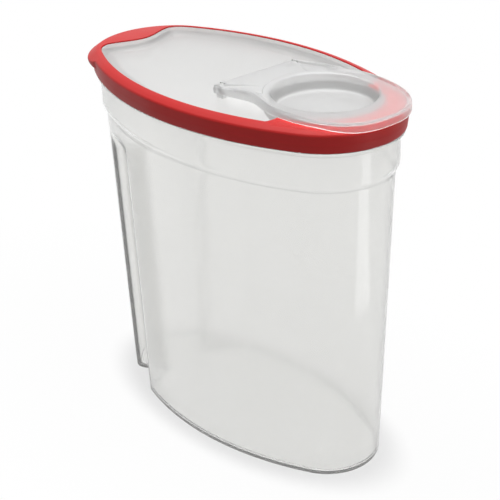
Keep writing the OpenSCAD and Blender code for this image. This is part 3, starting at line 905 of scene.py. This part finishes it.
class KEEPER_OT_flap(bpy.types.Operator):
    """Loft the pour flap with its bead, cup and hinge tongue, and add its pins"""

    bl_idname = "keeper.flap"
    bl_label = "Pour flap"

    def execute(self, context):
        s, finish = context.scene.keeper_sizes, context.scene.keeper_finish
        top, thick, bead = s.rim_z, s.flap_thick, s.bead_rise
        base = flap_plan(s, 0.0)
        angle = np.arctan2(base[:, 1], base[:, 0] - s.pour_x)
        tongue = smooth((np.abs(angle) - WING_START) / WING_FADE)
        wing = tongue * smooth((WING_FOLD - np.abs(angle)) / FOLD_TURN)

        def ramp(x):
            return smooth((x - s.tongue_x) / (s.ramp_x - s.tongue_x))

        def top_z(x):
            return top + s.flap_rise - (x - s.pour_x) * math.tan(FLAP_TILT)

        def edge_z(x):
            return mix(top + s.tongue_rise, top_z(x), ramp(x))

        def lip_z(x):
            fall = s.lip_drop * smooth(2 * (x - s.pour_x) / s.flap_reach - 1)
            return top + mix(s.tongue_lip, s.lip_h, ramp(x)) - fall

        def under_bead_z(x):
            return edge_z(x) - bead * smooth((x - s.ramp_x) / (s.pour_x - s.ramp_x))

        def ring(radius):
            return around_opening(s, radius, angle)

        def on_top(radius, drop):
            p = ring(radius)
            return lift(p, top_z(p[:, 0]) - drop)

        def at(height, inset, drop=0.0):
            p = flap_plan(s, inset)
            return lift(p, height(p[:, 0]) - drop)

        def below(outer, inner, share, lowered):
            p = mix(outer, inner, share)
            p[:, 2] -= s.wing_drop * lowered
            return p

        cup_out = s.cup_radius + thick
        ring_out = s.cup_radius + s.ring_width
        floor_inset = s.cup_draft + s.cup_fillet + CUP_FLOOR_INSET
        under_z = s.cup_z - thick
        ring_low, ring_high = on_top(ring_out, bead + thick), on_top(ring_out, bead)
        edge_low = at(under_bead_z, thick + BEAD_LEAN, thick)
        edge_high = at(under_bead_z, s.bead_width + BEAD_SLOPE)
        rings = [
            (lift(ring(cup_out - floor_inset), under_z), 0.0),
            (lift(ring(cup_out - s.cup_draft - s.cup_fillet / 4), under_z), 0.0018),
            (on_top(cup_out, bead + thick), 0.0008),
            (ring_low, 0.0008),
            (below(edge_low, ring_low, WING_END, tongue), 0.0006),
            (below(edge_low, ring_low, WING_EDGE, wing), 0.0006),
            (edge_low, 0.0005),
            (at(lip_z, thick), 0.0003),
            (at(lip_z, 0.0), 0.0004),
            (at(edge_z, BEAD_LEAN, BEAD_ROUND), 0.0008),
            (at(edge_z, BEAD_ROUND), 0.0005),
            (at(edge_z, s.bead_width - BEAD_SLOPE, BEAD_DIP), 0.0005),
            (edge_high, 0.0008),
            (below(edge_high, ring_high, WING_EDGE, wing), 0.0006),
            (below(edge_high, ring_high, WING_END, tongue), 0.0006),
            (ring_high, 0.0010),
            (on_top(s.cup_radius + CUP_EDGE, bead), 0.0006),
            (on_top(s.cup_radius, bead + CUP_EDGE), 0.0006),
            (lift(ring(s.cup_radius - s.cup_draft), s.cup_z), 0.0022),
            (lift(ring(s.cup_radius - floor_inset), s.cup_z), 0.0),
        ]
        piece = add_object("flap_shell", loft_piece("pour_flap", rings, closed=False))

        slot_half = s.ear_thick / 2 + s.ear_gap
        cheek_y = s.ear_y + slot_half
        cheek_thick = s.tongue_half - thick / 2 - cheek_y
        for side in (-1, 1):
            y = side * s.ear_y
            low = (s.tongue_x - s.ear_gap, y - slot_half, top)
            high = (HINGE[0] + s.ear_radius + s.ear_gap, y + slot_half, top + s.flap_rise)
            combine(piece, box_mesh("slot", low, high), "DIFFERENCE")
        for side in (-1, 1):
            combine(piece, pin_mesh(s, side, cheek_y, cheek_thick), "UNION")
        material = clear_plastic(
            "clear_flap", finish.flap_tint, roughness=(0.28, 0.32), transmission=0.88, lamp_share=0.90,
            ior=1.35,
        )
        finish_piece(piece, material, "flap", "pour_flap")
        return {"FINISHED"}


# Stage


VIEW_AZIMUTH = math.radians(49.5)
VIEW_ELEVATION = math.radians(26.53)
VIEW_ROLL = math.radians(-1.77)
VIEW_DISTANCE = 1.00281
VIEW_TARGET = Vector((0.00401, 0.0, 0.13328))
VIEW_LENS = 97.32
STRIP_TURN = math.radians(16.0)
STRIP_AWAY, STRIP_RISE = 0.52, 0.003  # the strip's distance from the origin, and its height
FOOT_HALF = (0.124, 0.060)  # half length and half width of the container's foot
PAINTED_SHADOW_RUN, WHITE_RUN = (0.95, 1.3), (1.3, 3.5)  # in sizes of the foot: the painted shadow's run, then the run out into white
PAINTED_SHADOW_GLOW = (0.62, 0.975)  # share of plain white at both ends of the painted shadow's run
FLOOR_DROP = 0.0004


def add_camera():
    """The camera at the photograph's viewing angle."""
    data = bpy.data.cameras.new("view_camera")
    data.lens = VIEW_LENS
    data.sensor_width = 36.0
    data.clip_start, data.clip_end = 0.05, 50.0
    level = math.cos(VIEW_ELEVATION)
    back = Vector((
        math.sin(VIEW_AZIMUTH) * level, -math.cos(VIEW_AZIMUTH) * level, math.sin(VIEW_ELEVATION),
    ))
    right = (-back).cross(Vector((0, 0, 1))).normalized()
    up = right.cross(-back)
    cos, sin = math.cos(VIEW_ROLL), math.sin(VIEW_ROLL)
    right, up = cos * right + sin * up, cos * up - sin * right
    turn = Matrix((right, up, back)).transposed().to_4x4()
    camera = add_object("view_camera", data)
    camera.matrix_world = Matrix.Translation(VIEW_TARGET + back * VIEW_DISTANCE) @ turn
    bpy.context.scene.camera = camera


def facing(place, target):
    """The turn of a lamp at a place that faces a target."""
    return (Vector(target) - Vector(place)).to_track_quat("-Z", "Y")


def add_soft_box(name, place, turn, width, height, power):
    """A rectangular area lamp."""
    data = bpy.data.lights.new(name, "AREA")
    data.shape = "RECTANGLE"
    data.size, data.size_y = width, height
    data.energy = power
    lamp = add_object(name, data)
    lamp.location = place
    lamp.rotation_mode = "QUATERNION"
    lamp.rotation_quaternion = turn
    return lamp


def seen_directly(tree):
    """1 for rays from the camera, from a mirror or through clear plastic, and 0 for other rays."""
    path = add_node(tree, "ShaderNodeLightPath").outputs
    seen = maths(tree, "MAXIMUM", path["Is Camera Ray"], path["Is Glossy Ray"])
    return maths(tree, "MAXIMUM", seen, path["Is Transmission Ray"])


def white_world(fill):
    """A world that is white where it is seen, and weaker as light on matt surfaces."""
    world = bpy.data.worlds.new("white_room")
    tree = empty_tree(world)
    strength = map_range(tree, seen_directly(tree), 0.0, 1.0, fill, 1.0)
    sky = add_node(tree, "ShaderNodeBackground", {"Color": (1.0, 1.0, 1.0, 1.0), "Strength": strength})
    add_node(tree, "ShaderNodeOutputWorld", {"Surface": sky.outputs[0]})
    bpy.context.scene.world = world


def pale_floor(shade):
    """Plain pale floor that runs out into white, with a soft shadow under the keeper: the real one on its
    matt part and a painted one where its white glow is weaker round the foot.
    """
    material = bpy.data.materials.new("pale_floor")
    tree = empty_tree(material)
    matt = add_node(tree, "ShaderNodeBsdfDiffuse", {"Color": (*shade, 1.0)})
    glow = add_node(tree, "ShaderNodeEmission", {"Color": (1.0, 1.0, 1.0, 1.0), "Strength": 1.0})
    place = add_node(tree, "ShaderNodeTexCoord").outputs["Object"]
    to_foot = (1 / FOOT_HALF[0], 1 / FOOT_HALF[1], 1.0)
    foot = add_node(tree, "ShaderNodeMapping", {"Vector": place, "Scale": to_foot})
    away = add_node(tree, "ShaderNodeVectorMath", {0: foot.outputs[0]}, operation="LENGTH").outputs["Value"]
    # painted shadow: the white glow is weaker under and round the foot
    share = map_range(tree, away, *PAINTED_SHADOW_RUN, *PAINTED_SHADOW_GLOW, "SMOOTHSTEP")
    share = map_range(tree, away, *WHITE_RUN, share, 1.0)
    share = maths(tree, "MULTIPLY", share, seen_directly(tree))
    both = add_node(tree, "ShaderNodeMixShader", {0: share, 1: matt.outputs[0], 2: glow.outputs[0]})
    add_node(tree, "ShaderNodeOutputMaterial", {"Surface": both.outputs[0]})
    bm = bmesh.new()
    bmesh.ops.create_grid(bm, x_segments=8, y_segments=8, size=2.0)
    mesh = bpy.data.meshes.new("studio_floor")
    bm.to_mesh(mesh)
    bm.free()
    mesh.materials.append(material)
    floor = add_object("studio_floor", mesh)
    floor.location.z = -FLOOR_DROP


class KEEPER_OT_stage(bpy.types.Operator):
    """Add the camera, the lamps, the white world and the pale floor"""

    bl_idname = "keeper.stage"
    bl_label = "Stage"

    def execute(self, context):
        light = context.scene.keeper_stage
        add_camera()
        place = (0.0, 0.0, 1.75)
        add_soft_box("overhead_box", place, facing(place, (0.0, 0.0, 0.0)), 1.7, 1.7, light.overhead)
        place = (1.5, -0.5, 0.5)
        add_soft_box("fill_box", place, facing(place, (0.0, 0.0, 0.15)), 0.7, 1.0, light.fill)
        place = (STRIP_AWAY * math.cos(STRIP_TURN), STRIP_AWAY * math.sin(STRIP_TURN), STRIP_RISE)
        upwards = Quaternion((0, 0, 1), STRIP_TURN) @ Quaternion((1, 0, 0), math.pi)
        strip = add_soft_box("nose_strip", place, upwards, 0.40, 0.14, light.strip)
        strip.visible_camera = strip.visible_transmission = False
        white_world(light.world_dim)
        pale_floor(light.floor_shade)
        context.scene.view_settings.view_transform = "Standard"
        return {"FINISHED"}


class KEEPER_PT_sidebar(bpy.types.Panel):
    """Sizes, finishes and build steps of the keeper"""

    bl_idname = "KEEPER_PT_sidebar"
    bl_label = "Cereal keeper"
    bl_space_type = "VIEW_3D"
    bl_region_type = "UI"
    bl_category = "Keeper"

    def draw(self, context):
        scene = context.scene
        for operator in OPERATORS:
            self.layout.operator(operator.bl_idname)
        for group in (scene.keeper_sizes, scene.keeper_finish, scene.keeper_stage):
            box = self.layout.box()
            for name in group.__annotations__:
                box.prop(group, name)


GROUPS = {"keeper_sizes": KeeperSizes, "keeper_finish": KeeperFinish, "keeper_stage": KeeperStage}
OPERATORS = (KEEPER_OT_container, KEEPER_OT_rim, KEEPER_OT_panel, KEEPER_OT_flap, KEEPER_OT_stage)
CLASSES = (*GROUPS.values(), *OPERATORS, KEEPER_PT_sidebar)


def register():
    """Registers the classes and hangs the property groups on the scene."""
    for made in CLASSES:
        bpy.utils.register_class(made)
    for name, group in GROUPS.items():
        setattr(bpy.types.Scene, name, PointerProperty(type=group))


def unregister():
    """Takes the property groups off the scene and unregisters the classes."""
    for name in GROUPS:
        delattr(bpy.types.Scene, name)
    for made in reversed(CLASSES):
        bpy.utils.unregister_class(made)


def main():
    """Builds every piece and the stage."""
    register()
    bpy.ops.keeper.container()
    bpy.ops.keeper.rim()
    bpy.ops.keeper.panel()
    bpy.ops.keeper.flap()
    bpy.ops.keeper.stage()


if __name__ == "__main__":
    main()
